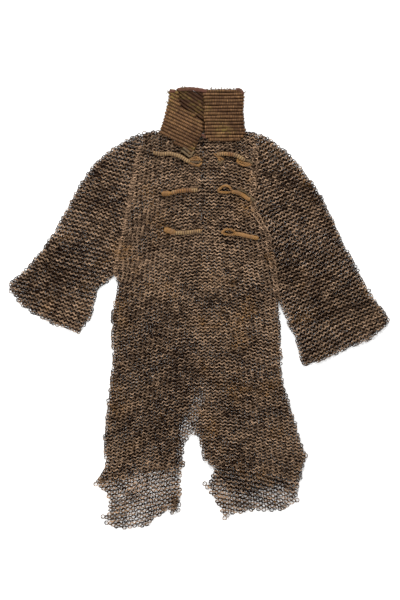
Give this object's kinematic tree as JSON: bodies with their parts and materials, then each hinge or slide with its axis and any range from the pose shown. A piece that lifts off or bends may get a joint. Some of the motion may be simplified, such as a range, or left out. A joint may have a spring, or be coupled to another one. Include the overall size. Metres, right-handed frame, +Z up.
{
  "type": "chainmail hauberk",
  "caption": "Mail shirt laid flat, with wide elbow sleeves, tall laced collar, neck slit, leather cord fasteners and a ragged split hem.",
  "frame": {"origin": "on the surface that the shirt lies on, under the middle of its overall box", "axes": "+X towards the viewer's right sleeve, +Y up the shirt to the collar, +Z up from the surface"},
  "size_m": [0.8534, 0.993, 0.0211],
  "materials": {
    "mail": "aged iron rings with brown patina",
    "laced_mail": "mail rings laced with brown thong",
    "leather": "worn wrapped leather cord",
    "dark_leather": "worn reddish-brown leather"
  },
  "bodies": {
    "root": {"back_panel": "mail", "front_panel": "mail", "sleeve_left": "mail", "sleeve_right": "mail", "collar_back": "laced_mail", "collar_flap_left": "laced_mail", "collar_flap_right": "laced_mail", "collar_binding": "dark_leather", "fastener_left_1": "leather", "fastener_left_2": "leather", "fastener_left_3": "leather", "fastener_right_1": "leather", "fastener_right_2": "leather", "fastener_right_3": "leather"}
  },
  "joints": []
}
